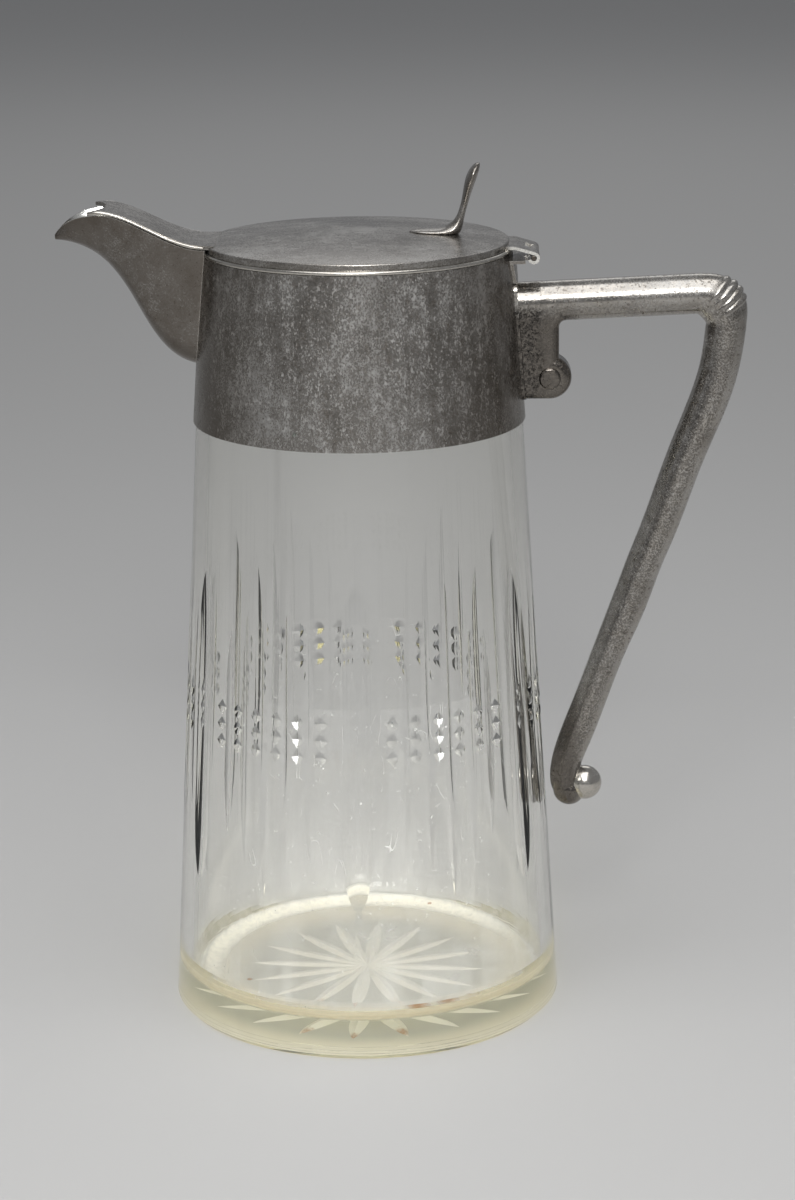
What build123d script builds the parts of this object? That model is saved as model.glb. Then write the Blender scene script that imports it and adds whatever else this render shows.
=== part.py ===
from build123d import *
import os
from math import asin, atan2, cos, degrees, hypot, radians, sin, sqrt

# Claret jug: a cut-glass vessel with a metal collar, spout, handle and hinged lid.
# Millimetres. Z is up, the spout points to -X, the handle to +X, and the origin is the
# centre of the face that the jug stands on. The jug is symmetric about the XZ plane.

# ---------------------------------------------------------------- driving dimensions
# Collar: a tapered band of sheet metal round the neck of the glass.
collar_bottom = 191.3
collar_height = 54.0
collar_foot_radius = 52.1
collar_top_radius = 48.1
collar_sheet = 0.8
rim_width = 1.7
rim_height = 1.4
rim_stand_out = 0.3
rim_round = 0.5

# Glass: a straight taper with a thick floor and a neck that is bedded in the collar.
base_radius = 62.5
heel_bevel = 1.4
floor_thickness = 9.5
floor_corner = 8.0
wall_at_base = 5.0
wall_at_neck = 3.0
neck_height = 14.5
neck_shoulder = 2.0
lip_round = 1.0
bedding = 1.0
bedding_setback = 1.5

# Cut pattern of the glass: wide hollow flutes, a fan of pointed lancets between each two
# flutes, and a star under the floor. Lancets are (foot, tip) heights from the fan's middle out.
flute_count = 6
flute_width = 10.2
flute_hollow_radius = 18.0
flute_low = 50.0
flute_high = 149.0
flute_fade = 25.0
lancet_width = 5.0
lancet_depth = 0.8
lancet_step = 7.5
lancet_heights = ((50.0, 152.0), (61.0, 141.0), (69.0, 133.0))
star_rays = 16
star_radius = 39.0
star_eye = 1.2
ray_width = 4.6
ray_depth = 1.2
cut_overrun = 0.2
# How far a cut runs past the surface, as a share of its arc or of its fading end.
wheel_past = 1.04
fade_past = 1.2

# Spout: an open beak whose root is soldered over a slot in the collar.
spout_reach = 46.4
spout_depth = 36.5
spout_tip_rise = 2.6
spout_root_width = 30.0
spout_mouth_width = 20.4
spout_nose = 11.0
spout_wall = 1.1
brim_margin = 4.0
# Shares of the run and the rise at which the keel's two control points stand.
keel_controls = ((0.447, 0.125), (0.371, 0.975))
# Shares of the half width and of the height at which a side turns into the keel.
keel_side = (0.62, 0.45)
# Shares of the way from the flap's end to the tip at which the open lip dips.
lip_dip = (0.58, 0.3)

# Lid: a domed disc in one piece with the flap that follows the spout.
lid_margin = 1.0
lid_sheet = 0.95
lid_rise = 2.6
lid_edge_round = 0.4
flap_length = 36.0
flap_end_rise = 10.1
flap_root_width = 29.4
flap_end_width = 22.4
flap_waist = 0.9
flap_notch = 4.6
flap_thickness = 1.15
flap_gap = 0.35
flap_step = 0.5
flap_root_inset = 1.0
flap_overlap = 3.0
# Shares of the flap's length and rise at which its two control points stand.
flap_controls = ((0.351, -0.046), (0.69, 1.265))

# Hinge: two knuckles on the lid's tab turn on a pin that is fast in the collar's knuckle.
hinge_width = 21.0
hinge_reach = 6.5
hinge_drop = 2.6
hinge_sheet = 0.95
hinge_clearance = 0.7
tab_tongue = 7.0
tab_wrap = 234.0
leaf_wrap = 230.0
pin_radius = 0.85
pin_end_round = 0.28
running_clearance = 0.05
middle_knuckle = 7.0
knuckle_gap = 0.2
apron_foot_width = 14.0

# Thumbpiece: a leaf on a tongue, standing on the lid.
thumb_setback = 15.2
thumb_tongue = 16.0
thumb_height = 22.4
thumb_lean = 5.6
thumb_curl = 1.3
thumb_stem = 1.8
tongue_thickness = 1.0
thumb_tongue_width = 8.0
tongue_shoulder = 1.5
leaf_width = 11.0
leaf_thickness = 3.1
leaf_share = 0.72
neck_share = 0.4
neck_width = 4.5
leaf_belly = 0.4
tip_margin = 0.01

# Handle: a round bar, a swollen corner, a straight tapering limb and a curled end.
bar_radius = 6.3
bar_drop = 18.2
bar_rise = 3.0
bar_overlap = 3.0
handle_reach = 67.6
corner_radius = 9.0
corner_swell = 1.2
corner_push = 0.5
reed_count = 4
reed_pitch = 5.2
reed_fan_radius = 22.5
reed_height = 0.75
reed_taper = 0.6
reed_inset = 0.2
knee_drop = 25.1
knee_shift = 3.1
knee_radius = 60.0
limb_drop = 129.7
limb_shift = 48.2
limb_foot_radius = 4.85
curl_bend_radius = 12.0
curl_drop = 7.6
curl_shift = 1.8
curl_radius = 5.2
ball_radius = 5.5
ball_shift = 5.0
ball_lift = 2.2

# Bracket: a slab under the bar that ends in a scroll with an eye disc on each face.
bracket_depth = 11.0
bracket_width = 13.1
bracket_round = 2.6
bracket_flare = 2.2
scroll_drop = 41.2
scroll_out = 8.5
scroll_radius = 6.8
eye_radius = 3.4
eye_height = 0.9
eye_round = 0.8

# Saddle: the curved plate between the handle and the collar.
saddle_sheet = 0.9
saddle_width = 15.0
saddle_margin = 0.9
saddle_corner = 3.0

# ---------------------------------------------------------------- shared heights and radii
rim_top = collar_bottom + collar_height
rim_seat = rim_top - rim_height
lip_top = collar_bottom + neck_height
shoulder_radius = collar_foot_radius - collar_sheet
lid_radius = collar_top_radius - lid_margin
lid_edge_top = rim_top + lid_sheet + hinge_sheet
pin_x = collar_top_radius + hinge_reach
pin_z = rim_top - hinge_drop
knuckle_radius = pin_radius + running_clearance + hinge_sheet
bar_root_z = rim_top - bar_drop
scroll_z = rim_top - scroll_drop
saddle_bottom = scroll_z - scroll_radius
saddle_top = bar_root_z + bar_radius + saddle_margin


def collar_radius(height):
    """Outer radius of the collar's cone at a height."""
    share = (height - collar_bottom) / collar_height
    return collar_foot_radius + share * (collar_top_radius - collar_foot_radius)


def cone_band(inner, outer, low, high):
    """Ring that follows the collar's cone, between two distances from its surface."""
    with BuildPart() as band:
        with BuildSketch(Plane.XZ):
            with BuildLine():
                Polyline(
                    (collar_radius(low) + inner, low),
                    (collar_radius(low) + outer, low),
                    (collar_radius(high) + outer, high),
                    (collar_radius(high) + inner, high),
                    close=True,
                )
            make_face()
        revolve(axis=Axis.Z)
    return band.part


def cone_core(stand_off, low, high):
    """Solid cone that reaches a distance beyond the collar's surface."""
    with BuildPart() as core:
        with BuildSketch(Plane.XZ):
            with BuildLine():
                Polyline(
                    (0, low),
                    (collar_radius(low) + stand_off, low),
                    (collar_radius(high) + stand_off, high),
                    (0, high),
                    close=True,
                )
            make_face()
        revolve(axis=Axis.Z)
    return core.part


# ---------------------------------------------------------------- glass body
def neck_radius(height):
    """Outer radius of the glass neck inside the collar."""
    return collar_radius(height) - collar_sheet - bedding


def wall_section(height):
    """Upright plane on the wall at +X: its X goes up the wall and its Y points outward."""
    share = (height - heel_bevel) / (collar_bottom - heel_bevel)
    radius = base_radius + share * (shoulder_radius - base_radius)
    return Plane(
        origin=(radius, 0, height),
        x_dir=(-sin(wall_lean), 0, cos(wall_lean)),
        z_dir=(0, 1, 0),
    )


def spindle_cut(section, length, depth):
    """Cut of a round-edged wheel that sinks in, runs straight and comes out again."""
    fade_radius = (flute_fade**2 + depth**2) / (2 * depth)
    run = length / 2 - flute_fade
    end = run + fade_past * flute_fade
    half = (run + end) / 2
    end_height = fade_radius - depth - sqrt(fade_radius**2 - (end - run) ** 2)
    half_height = fade_radius - depth - sqrt(fade_radius**2 - (half - run) ** 2)
    centre_height = flute_hollow_radius - depth
    with BuildPart() as cutter:
        with BuildSketch(section):
            with BuildLine():
                ThreePointArc((-end, end_height), (-half, half_height), (-run, -depth))
                Line((-run, -depth), (run, -depth))
                ThreePointArc((run, -depth), (half, half_height), (end, end_height))
                Polyline((end, end_height), (end, centre_height), (-end, centre_height), (-end, end_height))
            make_face()
        revolve(axis=Axis(section.from_local_coords((0, centre_height, 0)), section.x_dir))
    return cutter.part


def mitre_cut(section, length, width, depth):
    """Cut of a V-edged wheel: a pointed leaf along the section's X, deepest in its middle."""
    wheel_radius = (length**2 / 4 + depth**2) / (2 * depth)
    wheel_centre = section.from_local_coords((0, wheel_radius - depth, 0))
    half_turn = wheel_past * asin(length / 2 / wheel_radius)
    spoke = -section.y_dir * cos(half_turn) - section.x_dir * sin(half_turn)
    half_width = width / 2 * (depth + cut_overrun) / depth
    with BuildPart() as cutter:
        with BuildSketch(Plane(wheel_centre, x_dir=(0, 1, 0), z_dir=Vector(0, 1, 0).cross(spoke))):
            with BuildLine():
                Polyline(
                    (0, wheel_radius),
                    (half_width, wheel_radius - depth - cut_overrun),
                    (-half_width, wheel_radius - depth - cut_overrun),
                    close=True,
                )
            make_face()
        revolve(axis=Axis(wheel_centre, (0, 1, 0)), revolution_arc=degrees(2 * half_turn))
    return cutter.part


neck_foot = collar_bottom + neck_shoulder
lip_radius = neck_radius(lip_top)
wall_lean = atan2(base_radius - shoulder_radius, collar_bottom - heel_bevel)
flute_section = wall_section((flute_low + flute_high) / 2)
flute_depth = flute_width**2 / 8 * (1 / flute_hollow_radius + 1 / flute_section.origin.X)
flute = spindle_cut(flute_section, (flute_high - flute_low) / cos(wall_lean), flute_depth)
star_section = Plane(origin=((star_eye + star_radius) / 2, 0, 0), x_dir=(1, 0, 0), z_dir=(0, 1, 0))
star_ray = mitre_cut(star_section, star_radius - star_eye, ray_width, ray_depth)
fan_middle = 180 / flute_count

with BuildPart() as glass_body:
    with BuildSketch(Plane.XZ):
        with BuildLine():
            Polyline(
                (0, 0),
                (base_radius - heel_bevel, 0),
                (base_radius, heel_bevel),
                (shoulder_radius, collar_bottom),
                (neck_radius(neck_foot), neck_foot),
                (lip_radius, lip_top),
                (lip_radius - wall_at_neck, lip_top),
                (base_radius - wall_at_base, floor_thickness),
                (0, floor_thickness),
                close=True,
            )
        glass_section = make_face()
        inner_corner = glass_section.vertices().group_by(Axis.Y)[2].sort_by(Axis.X)[-1]
        fillet(inner_corner, floor_corner)
    revolve(axis=Axis.Z)
    fillet(glass_body.edges().group_by(Axis.Z)[-1], lip_round)
    with PolarLocations(0, star_rays, start_angle=-90):
        add(star_ray, mode=Mode.SUBTRACT)
    with PolarLocations(0, flute_count, start_angle=-90):
        add(flute, mode=Mode.SUBTRACT)
    for place, (foot, tip) in enumerate(lancet_heights):
        lancet_length = (tip - foot) / cos(wall_lean)
        lancet = mitre_cut(wall_section((foot + tip) / 2), lancet_length, lancet_width, lancet_depth)
        for side in {-place, place}:
            with PolarLocations(0, flute_count, start_angle=fan_middle - 90 + side * lancet_step):
                add(lancet, mode=Mode.SUBTRACT)
glass_body.part.label = "glass_body"

# ---------------------------------------------------------------- neck cement
# Plaster that fills the space between the glass neck and the collar.
cement_top = lip_top - bedding_setback

with BuildPart() as neck_cement:
    with BuildSketch(Plane.XZ):
        with BuildLine():
            Polyline(
                (shoulder_radius, collar_bottom),
                (collar_radius(cement_top) - collar_sheet, cement_top),
                (neck_radius(cement_top), cement_top),
                (neck_radius(neck_foot), neck_foot),
                close=True,
            )
        make_face()
    revolve(axis=Axis.Z)
neck_cement.part.label = "neck_cement"

# ---------------------------------------------------------------- spout
# The keel is one curve in the XZ plane, from the root on the collar to the tip.
root_z = rim_top - spout_depth
root_x = -collar_radius(root_z)
tip_x = -(collar_top_radius + spout_reach)
tip_z = rim_top + spout_tip_rise
keel_run = tip_x - root_x
keel_rise = tip_z - root_z
keel_bends = [(root_x + run * keel_run, 0, root_z + rise * keel_rise) for run, rise in keel_controls]
keel = Bezier((root_x, 0, root_z), *keel_bends, (tip_x, 0, tip_z))
brim_plane = rim_top + flap_end_rise + brim_margin
nose_x = tip_x + spout_nose
# Places of the beak's sections along the keel; the first lies inside the collar.
stations = (-0.15, 0, 0.12, 0.26, 0.4, 0.54, 0.68, 0.8, 0.89, 0.95, 0.985)


def beak_half_width(x):
    """Half the beak's outer width: a straight taper, then a rounded nose."""
    taper = (x - root_x) / (nose_x - root_x)
    nose = max(0, (x - nose_x) / (tip_x - nose_x))
    body = spout_root_width + min(taper, 1) * (spout_mouth_width - spout_root_width)
    return body / 2 * (1 - nose**2)


def beak(inset):
    """Beak with a rounded keel and leaning sides, drawn in all round by a distance."""
    with BuildPart() as block:
        for share in stations:
            point = keel @ max(share, 0)
            heading = keel % max(share, 0)
            run_in = max(-share, 0) * abs(keel_run)
            x = point.X - run_in * heading.X + inset * heading.Z
            z = point.Z - run_in * heading.Z - inset * heading.X
            half = beak_half_width(point.X) - inset
            shoulder_half = keel_side[0] * half
            shoulder_z = z + keel_side[1] * min(half, brim_plane - z)
            with BuildSketch(Plane.YZ.offset(x)):
                with BuildLine():
                    Polyline(
                        (shoulder_half, shoulder_z),
                        (half, brim_plane),
                        (-half, brim_plane),
                        (-shoulder_half, shoulder_z),
                    )
                    ThreePointArc((-shoulder_half, shoulder_z), (0, z), (shoulder_half, shoulder_z))
                make_face()
        loft()
    return block.part


def flap_curve(drop):
    """The flap's double curve in the XZ plane, lowered by a distance."""
    start_x = -lid_radius + flap_root_inset
    start_z = lid_edge_top + flap_step - drop
    bends = [(start_x - run * flap_length, start_z + rise * flap_end_rise) for run, rise in flap_controls]
    return [(start_x, start_z), *bends, (start_x - flap_length, start_z + flap_end_rise)]


beak_outside = beak(0)
beak_inside = beak(spout_wall)
brim_curve = flap_curve(flap_thickness + flap_gap)
brim_top = brim_plane + spout_wall
brim_end_x, brim_end_z = brim_curve[-1]
lip_bend = (
    brim_end_x + lip_dip[0] * (tip_x - brim_end_x),
    brim_end_z + lip_dip[1] * (tip_z - brim_end_z),
)
past_tip = tip_x - spout_wall

with BuildPart() as spout:
    add(beak_outside)
    add(beak_inside, mode=Mode.SUBTRACT)
    add(cone_core(0, collar_bottom, brim_top), mode=Mode.SUBTRACT)
    with BuildSketch(Plane.XZ):
        with BuildLine():
            Line((0, brim_curve[0][1]), brim_curve[0])
            Bezier(*brim_curve)
            ThreePointArc(brim_curve[-1], lip_bend, (tip_x, tip_z))
            Polyline(
                (tip_x, tip_z),
                (past_tip, tip_z),
                (past_tip, brim_top),
                (0, brim_top),
                (0, brim_curve[0][1]),
            )
        make_face()
    extrude(amount=spout_root_width, both=True, mode=Mode.SUBTRACT)
spout.part.label = "spout"

# ---------------------------------------------------------------- collar and rim
with BuildPart() as collar:
    add(cone_band(-collar_sheet, 0, collar_bottom, rim_seat))
    add(beak_inside, mode=Mode.SUBTRACT)
collar.part.label = "collar"

# The rim wire is soldered on the collar's top edge and stops at the spout.
rim_radius = collar_radius(rim_seat) + rim_stand_out

with BuildPart() as collar_rim:
    with BuildSketch(Plane.XZ):
        with Locations((rim_radius - rim_width / 2, rim_seat + rim_height / 2)):
            RectangleRounded(rim_width, rim_height, rim_round)
    revolve(axis=Axis.Z)
    add(beak_outside, mode=Mode.SUBTRACT)
collar_rim.part.label = "collar_rim"

# ---------------------------------------------------------------- handle
def handle_section(x, z, heading, half_depth, half_height):
    """Elliptical section of the handle on a plane square to its run."""
    plane = Plane(origin=(x, 0, z), x_dir=(0, 1, 0), z_dir=heading)
    with BuildSketch(plane) as section:
        Ellipse(half_depth, half_height)
    return section.sketch


bar_start = Vector(collar_radius(bar_root_z) - bar_overlap, 0, bar_root_z)
corner = Vector(collar_top_radius + handle_reach, 0, bar_root_z + bar_rise)
knee = corner + Vector(-knee_shift, 0, -knee_drop)
limb_foot = knee + Vector(-limb_shift, 0, -limb_drop)
curl_end = limb_foot + Vector(curl_shift, 0, -curl_drop)
top_run = FilletPolyline(bar_start, corner, knee, radius=corner_radius)
bar_line, bend, _ = top_run.edges()
bar_heading = bar_line % 1
limb_path = FilletPolyline(bend @ 1, knee, limb_foot, curl_end, radius=[knee_radius, curl_bend_radius])

# The sections stand closer together where the line bends.
bend_stations = (0, 0.2, 0.4, 0.6, 0.8, 1)
limb_stations = (0, 0.05, 0.12, 0.2, 0.35, 0.5, 0.65, 0.8, 0.92, 0.96, 1)
corner_along = bend % 0.5
corner_out = Vector(-corner_along.Z, 0, corner_along.X)
fan_axis = (bend @ 0.5) + corner_out * (corner_push - reed_fan_radius)

# Slab and scroll of the bracket, cut from one outline.
scroll_x = collar_radius(scroll_z) + scroll_out
bracket_x = collar_radius(bar_root_z) + bracket_width

flare_x = bracket_x + bracket_flare
bar_bottom = (bar_line @ 0.5).Z - bar_radius

with BuildPart() as bracket:
    with BuildSketch(Plane.XZ):
        with BuildLine():
            Polyline(
                (flare_x, bar_bottom),
                (flare_x, bar_root_z),
                (bar_start.X, bar_root_z),
                (bar_start.X, saddle_bottom),
                (scroll_x, saddle_bottom),
                (bracket_x, scroll_z),
                (bracket_x, bar_bottom - bracket_flare),
            )
            RadiusArc((bracket_x, bar_bottom - bracket_flare), (flare_x, bar_bottom), bracket_flare)
        make_face()
        with Locations((scroll_x, scroll_z)):
            Circle(scroll_radius)
    extrude(amount=bracket_depth / 2, both=True)
    faces_by_depth = bracket.faces().sort_by(Axis.Y)
    fillet(faces_by_depth[0].edges() + faces_by_depth[-1].edges(), bracket_round)

with BuildPart() as button:
    with BuildSketch(Plane.XZ):
        with Locations((scroll_x, scroll_z)):
            Circle(eye_radius)
    extrude(amount=bracket_depth / 2 + eye_height, both=True)
    fillet(button.edges().filter_by(GeomType.CIRCLE), eye_round)

with BuildPart() as handle:
    # Top bar.
    loft(
        [
            handle_section(bar_start.X, bar_start.Z, bar_heading, bar_radius, bar_radius),
            handle_section((bend @ 0).X, (bend @ 0).Z, bar_heading, bar_radius, bar_radius),
        ]
    )
    # Swollen corner.
    corner_sections = []
    for share in bend_stations:
        bulge = sin(radians(180 * share)) ** 2
        heading = bend % share
        outward = Vector(-heading.Z, 0, heading.X)
        centre = (bend @ share) + outward * (corner_push * bulge)
        half_height = bar_radius + corner_swell * bulge
        corner_sections.append(handle_section(centre.X, centre.Z, heading, bar_radius, half_height))
    loft(corner_sections)
    # Reeds that fan across the corner, each a barrel between two grooves.
    for reed in range(reed_count):
        reed_sections = []
        for share, crown in ((0, 0), (0.5, reed_height), (1, 0)):
            turn = radians(reed_pitch * (reed_count / 2 - reed - share))
            spoke = corner_out * cos(turn) + corner_along * -sin(turn)
            heading = corner_along * cos(turn) + corner_out * sin(turn)
            drop = reed_taper * (2 * (reed + share) / reed_count - 1) ** 2
            centre = fan_axis + spoke * (reed_fan_radius + crown / 2 - drop)
            half_height = bar_radius + corner_swell + crown / 2 - drop
            half_depth = bar_radius + crown / 2 - reed_inset
            reed_sections.append(handle_section(centre.X, centre.Z, heading, half_depth, half_height))
        loft(reed_sections)
    # Limb and curl.
    limb_sections = []
    for share in limb_stations:
        centre = limb_path @ share
        radius = bar_radius + share * (limb_foot_radius - bar_radius)
        limb_sections.append(handle_section(centre.X, centre.Z, limb_path % share, radius, radius))
    loft(limb_sections)
    with Locations(curl_end):
        Sphere(curl_radius)
    # Bracket with a button on each face of the scroll.
    add(bracket.part)
    add(button.part)
    add(cone_core(saddle_sheet, collar_bottom, rim_top), mode=Mode.SUBTRACT)
handle.part.label = "handle"

# ---------------------------------------------------------------- handle ball
with BuildPart() as handle_ball:
    with Locations(curl_end + Vector(ball_shift, 0, ball_lift)):
        Sphere(ball_radius)
    add(handle.part, mode=Mode.SUBTRACT)
handle_ball.part.label = "handle_ball"

# ---------------------------------------------------------------- handle saddle
with BuildPart() as handle_saddle:
    add(cone_band(0, saddle_sheet, saddle_bottom, saddle_top))
    with BuildSketch(Plane.YZ):
        with Locations((0, (saddle_bottom + saddle_top) / 2)):
            RectangleRounded(saddle_width, saddle_top - saddle_bottom, saddle_corner)
    extrude(amount=2 * collar_foot_radius, mode=Mode.INTERSECT)
handle_saddle.part.label = "handle_saddle"

# ---------------------------------------------------------------- hinge leaf
# Apron on the collar, shelf and middle knuckle, all of one sheet.
leaf_roll = pin_radius + hinge_sheet / 2
shelf_z = pin_z - leaf_roll
shelf_end = pin_x - knuckle_radius - hinge_clearance

with BuildPart() as apron:
    add(cone_band(0, hinge_sheet, saddle_top, shelf_z))
    with BuildSketch(Plane.YZ):
        with BuildLine():
            Polyline(
                (-apron_foot_width / 2, saddle_top),
                (apron_foot_width / 2, saddle_top),
                (hinge_width / 2, shelf_z),
                (-hinge_width / 2, shelf_z),
                close=True,
            )
        make_face()
    extrude(amount=2 * collar_foot_radius, mode=Mode.INTERSECT)

with BuildPart() as hinge_leaf:
    with BuildSketch(Plane.XZ):
        with BuildLine():
            Line((0, shelf_z), (pin_x, shelf_z))
            CenterArc((pin_x, pin_z), leaf_roll, -90, leaf_wrap)
        trace(line_width=hinge_sheet)
    extrude(amount=middle_knuckle / 2, both=True)
    with BuildSketch(Plane.XZ):
        with Locations((shelf_end / 2, shelf_z)):
            Rectangle(shelf_end, hinge_sheet)
    extrude(amount=hinge_width / 2, both=True)
    add(cone_core(0, collar_bottom, rim_top), mode=Mode.SUBTRACT)
    add(apron.part)
hinge_leaf.part.label = "hinge_leaf"

# ---------------------------------------------------------------- hinge pin
with BuildPart() as hinge_pin:
    with BuildSketch(Plane.XZ):
        with Locations((pin_x, pin_z)):
            Circle(pin_radius)
    extrude(amount=hinge_width / 2, both=True)
    fillet(hinge_pin.edges().filter_by(GeomType.CIRCLE), pin_end_round)
hinge_pin.part.label = "hinge_pin"

# ---------------------------------------------------------------- hinge tab
# Tongue under the lid, a slope over the rim and a roll round the pin.
tab_roll = knuckle_radius - hinge_sheet / 2
tab_z = rim_top + hinge_sheet / 2
tab_bend_x = rim_radius + hinge_sheet / 2
tab_slope = atan2(pin_z - tab_z, pin_x - tab_bend_x)
tab_reach = hypot(pin_x - tab_bend_x, pin_z - tab_z)
roll_start = degrees(tab_slope + asin(tab_roll / tab_reach)) + 90

with BuildPart() as hinge_tab:
    with BuildSketch(Plane.XZ):
        with BuildLine():
            roll = CenterArc((pin_x, pin_z), tab_roll, roll_start, -tab_wrap)
            Polyline((lid_radius - tab_tongue, tab_z), (tab_bend_x, tab_z), roll @ 0)
        trace(line_width=hinge_sheet)
    extrude(amount=hinge_width / 2, both=True)
    with BuildSketch(Plane.XZ):
        with Locations((shelf_end + hinge_width / 2, pin_z)):
            Rectangle(hinge_width, hinge_width)
    extrude(amount=middle_knuckle / 2 + knuckle_gap, both=True, mode=Mode.SUBTRACT)
hinge_tab.part.label = "hinge_tab"

# ---------------------------------------------------------------- lid
def dome_height(radius):
    """Height of the lid's top surface at a distance from its centre."""
    return lid_edge_top + lid_rise * (1 - (radius / lid_radius) ** 2)


dome_centre = (0, dome_height(0))
dome_middle = (lid_radius / 2, dome_height(lid_radius / 2))
dome_edge = (lid_radius, dome_height(lid_radius))
flap_top = flap_curve(0)
flap_under = flap_curve(flap_thickness)
flap_root_x = flap_top[0][0]
flap_end_x = flap_top[-1][0]
flap_inner_x = flap_root_x + flap_overlap

with BuildPart() as dome:
    with BuildSketch(Plane.XZ):
        with BuildLine():
            ThreePointArc(dome_centre, dome_middle, dome_edge)
            Polyline(dome_edge, (lid_radius, rim_top), (0, rim_top), dome_centre)
        make_face()
    revolve(axis=Axis.Z)

with BuildPart() as flap:
    with BuildSketch(Plane.XZ):
        with BuildLine():
            Bezier(*flap_top)
            Bezier(*flap_under)
            Line(flap_top[-1], flap_under[-1])
            Polyline(
                flap_top[0],
                (flap_inner_x, flap_top[0][1]),
                (flap_inner_x, flap_under[0][1]),
                flap_under[0],
            )
        make_face()
    extrude(amount=flap_root_width, both=True)
    with BuildSketch(Plane.XY):
        with BuildLine():
            ThreePointArc(
                (flap_inner_x, -flap_root_width / 2),
                ((flap_inner_x + flap_end_x) / 2, flap_waist - (flap_root_width + flap_end_width) / 4),
                (flap_end_x, -flap_end_width / 2),
            )
            mirror(about=Plane.XZ)
            ThreePointArc(
                (flap_end_x, -flap_end_width / 2),
                (flap_end_x + flap_notch, 0),
                (flap_end_x, flap_end_width / 2),
            )
            Line((flap_inner_x, -flap_root_width / 2), (flap_inner_x, flap_root_width / 2))
        make_face()
    extrude(amount=2 * rim_top, mode=Mode.INTERSECT)

with BuildPart() as lid:
    add(dome.part)
    rim_circles = lid.edges().filter_by(lambda edge: edge.is_closed)
    fillet(rim_circles.sort_by(Axis.Z)[-1], lid_edge_round)
    with BuildSketch(Plane.XZ):
        with BuildLine():
            ThreePointArc(
                (0, dome_centre[1] - lid_sheet),
                (dome_middle[0], dome_middle[1] - lid_sheet),
                (lid_radius - lid_sheet, dome_height(lid_radius - lid_sheet) - lid_sheet),
            )
            Polyline(
                (lid_radius - lid_sheet, dome_height(lid_radius - lid_sheet) - lid_sheet),
                (lid_radius - lid_sheet, rim_top),
                (0, rim_top),
                (0, dome_centre[1] - lid_sheet),
            )
        make_face()
    revolve(axis=Axis.Z, mode=Mode.SUBTRACT)
    add(flap.part)
    add(hinge_tab.part, mode=Mode.SUBTRACT)
lid.part.label = "lid"

# ---------------------------------------------------------------- thumbpiece
# Cut from a side outline and a front outline, then seated on the dome.
thumb_foot = lid_radius - thumb_setback
thumb_base = dome_height(thumb_foot)
tongue_tip = thumb_foot - thumb_tongue
tongue_bend = thumb_foot - thumb_tongue / 2
leaf_z = thumb_base + leaf_share * thumb_height
neck_z = thumb_base + neck_share * thumb_height
thumb_top = thumb_base + thumb_height
tongue_edge_z = thumb_base + tongue_shoulder


def lean(height):
    """How far out the blade's back stands at a height."""
    share = (height - thumb_base) / thumb_height
    return thumb_foot + thumb_lean * share**thumb_curl


leaf_back = lean(leaf_z) + leaf_belly

with BuildPart() as thumbpiece:
    with BuildSketch(Plane.XZ):
        with BuildLine():
            back = Spline(
                (thumb_foot, thumb_base),
                (lean(neck_z), neck_z),
                (leaf_back, leaf_z),
                (lean(thumb_top), thumb_top),
            )
            front = Spline(
                (lean(thumb_top), thumb_top),
                (leaf_back - leaf_thickness, leaf_z),
                (lean(neck_z) - thumb_stem, neck_z),
                (tongue_bend, dome_height(tongue_bend) + tongue_thickness),
                tangents=((-1, -1), (-1, 0.02)),
            )
            Polyline(
                front @ 1,
                (tongue_tip, dome_height(tongue_tip) + tongue_thickness),
                (tongue_tip, rim_top),
                (thumb_foot, rim_top),
                back @ 0,
            )
        make_face()
    extrude(amount=leaf_width, both=True)
    with BuildSketch(Plane.YZ):
        with BuildLine():
            side = Spline(
                (-thumb_tongue_width / 2, tongue_edge_z),
                (-neck_width / 2, neck_z - tongue_thickness),
                (-leaf_width / 2, leaf_z),
                (0, thumb_top + tip_margin),
                tangents=((0, 1), (1, 0)),
            )
            mirror(about=Plane.YZ)
            Polyline(
                side @ 0,
                (-thumb_tongue_width / 2, rim_top),
                (thumb_tongue_width / 2, rim_top),
                (thumb_tongue_width / 2, tongue_edge_z),
            )
        make_face()
    extrude(amount=2 * thumb_foot, mode=Mode.INTERSECT)
    add(dome.part, mode=Mode.SUBTRACT)
thumbpiece.part.label = "thumbpiece"

# ---------------------------------------------------------------- export
pieces = [
    glass_body,
    neck_cement,
    collar,
    collar_rim,
    spout,
    handle_saddle,
    handle,
    handle_ball,
    hinge_leaf,
    hinge_pin,
    hinge_tab,
    lid,
    thumbpiece,
]
os.makedirs("parts", exist_ok=True)
for piece in pieces:
    export_step(piece.part, f"parts/{piece.part.label}.step")
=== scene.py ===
import bpy
from math import atan2, cos, hypot, pi, radians, sin, sqrt
from mathutils import Matrix, Vector


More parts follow.
